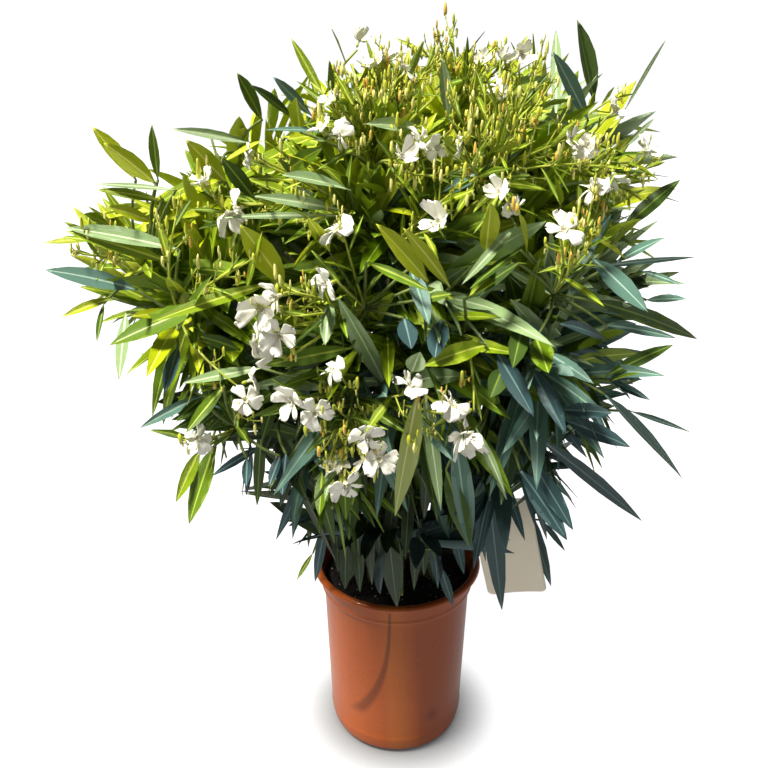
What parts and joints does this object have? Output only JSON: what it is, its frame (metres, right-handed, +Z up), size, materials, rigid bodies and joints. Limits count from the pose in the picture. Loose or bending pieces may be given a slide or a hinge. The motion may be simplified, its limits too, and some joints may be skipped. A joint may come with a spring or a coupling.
{
  "type": "potted oleander",
  "caption": "White-flowered oleander: a dense bush of lance-shaped leaves on several stems, in a terracotta-coloured plastic nursery pot with a plain paper tag.",
  "frame": {"origin": "middle of the pot's flat underside", "axes": "+Z up along the pot's axis; the front of the plant, where the tag hangs, faces -Y; +X is to the right seen from the front"},
  "size_m": [0.7532, 0.7425, 1.0101],
  "materials": {
    "terracotta_plastic": "semi-gloss",
    "potting_mix": "matte",
    "tag_paper": "matte",
    "bark": "matte",
    "greenery": "satin"
  },
  "bodies": {
    "root": {"pot": "terracotta_plastic", "soil": "potting_mix", "tag": "tag_paper", "stem_1": "bark", "stem_2": "bark", "stem_3": "bark", "stem_4": "bark", "stem_5": "bark", "stem_6": "bark", "bough_crest_1": "bark", "bough_crest_2": "bark", "bough_crest_3": "bark", "bough_upper_1": "bark", "bough_upper_2": "bark", "bough_upper_3": "bark", "bough_upper_4": "bark", "bough_upper_5": "bark", "bough_upper_6": "bark", "bough_middle_1": "bark", "bough_middle_2": "bark", "bough_middle_3": "bark", "bough_middle_4": "bark", "bough_middle_5": "bark", "bough_middle_6": "bark", "bough_middle_7": "bark", "bough_middle_8": "bark", "bough_lower_1": "bark", "bough_lower_2": "bark", "bough_lower_3": "bark", "bough_lower_4": "bark", "bough_lower_5": "bark", "bough_lower_6": "bark", "foliage_crest_1": "greenery", "foliage_crest_2": "greenery", "foliage_crest_3": "greenery", "foliage_upper_1": "greenery", "foliage_upper_2": "greenery", "foliage_upper_3": "greenery", "foliage_upper_4": "greenery", "foliage_upper_5": "greenery", "foliage_upper_6": "greenery", "foliage_middle_1": "greenery", "foliage_middle_2": "greenery", "foliage_middle_3": "greenery", "foliage_middle_4": "greenery", "foliage_middle_5": "greenery", "foliage_middle_6": "greenery", "foliage_middle_7": "greenery", "foliage_middle_8": "greenery", "foliage_lower_1": "greenery", "foliage_lower_2": "greenery", "foliage_lower_3": "greenery", "foliage_lower_4": "greenery", "foliage_lower_5": "greenery", "foliage_lower_6": "greenery", "foliage_skirt_1": "greenery", "foliage_skirt_2": "greenery", "foliage_skirt_3": "greenery", "foliage_skirt_4": "greenery", "foliage_skirt_5": "greenery"}
  },
  "joints": []
}
